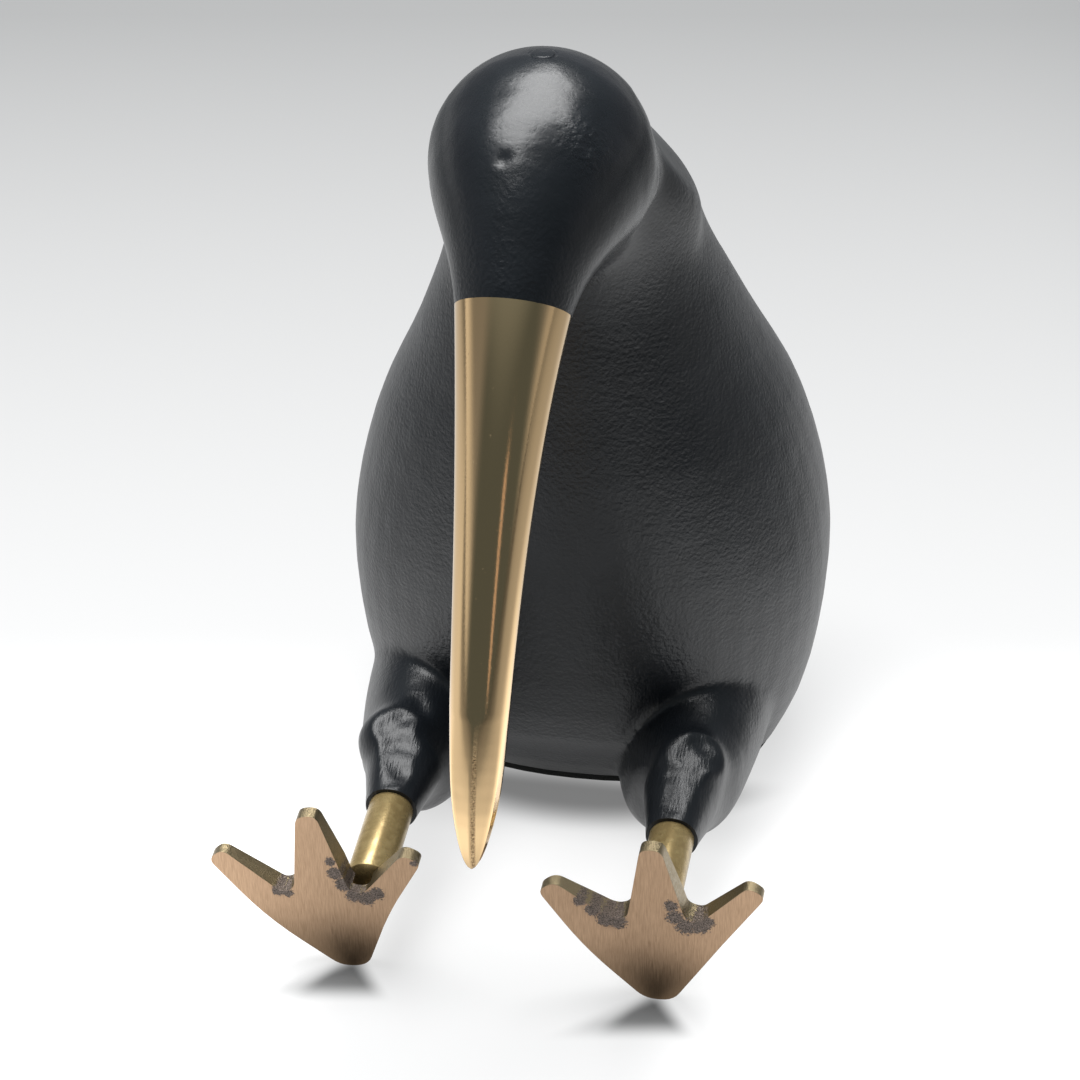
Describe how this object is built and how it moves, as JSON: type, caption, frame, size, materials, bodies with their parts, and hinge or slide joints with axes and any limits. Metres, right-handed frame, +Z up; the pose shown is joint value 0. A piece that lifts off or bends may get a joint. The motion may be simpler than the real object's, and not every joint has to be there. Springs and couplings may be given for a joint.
{
  "type": "animal figurine",
  "caption": "Seated kiwi bird ornament: black cast body and head, long polished brass beak, brass rod legs and flat three-toed brass feet standing on their heels.",
  "frame": {"origin": "on the floor, in the mid-plane of the body, under its widest section", "axes": "+Z up, the bird looks along -Y, and its own left side is +X"},
  "size_m": [0.0897, 0.1501, 0.1492],
  "materials": {
    "black_casting": "blue-black satin coat over a fine sand-cast skin",
    "polished_brass": "polished, lightly scratched",
    "rod_brass": "drawn rod, its filed end blackened with the casting",
    "turned_brass": "turned, faint rings",
    "brushed_brass": "linished soles, dull casting pits in the toe crotches",
    "plain_steel": "plain",
    "dark_felt": "wool felt"
  },
  "bodies": {
    "root": {"body_casting": "black_casting", "beak": "polished_brass", "beak_tie_rod": "rod_brass", "left_leg": "turned_brass", "right_leg": "turned_brass", "left_foot": "brushed_brass", "right_foot": "brushed_brass", "left_leg_washer": "plain_steel", "right_leg_washer": "plain_steel", "left_leg_nut": "plain_steel", "right_leg_nut": "plain_steel", "base_felt": "dark_felt"}
  },
  "joints": []
}
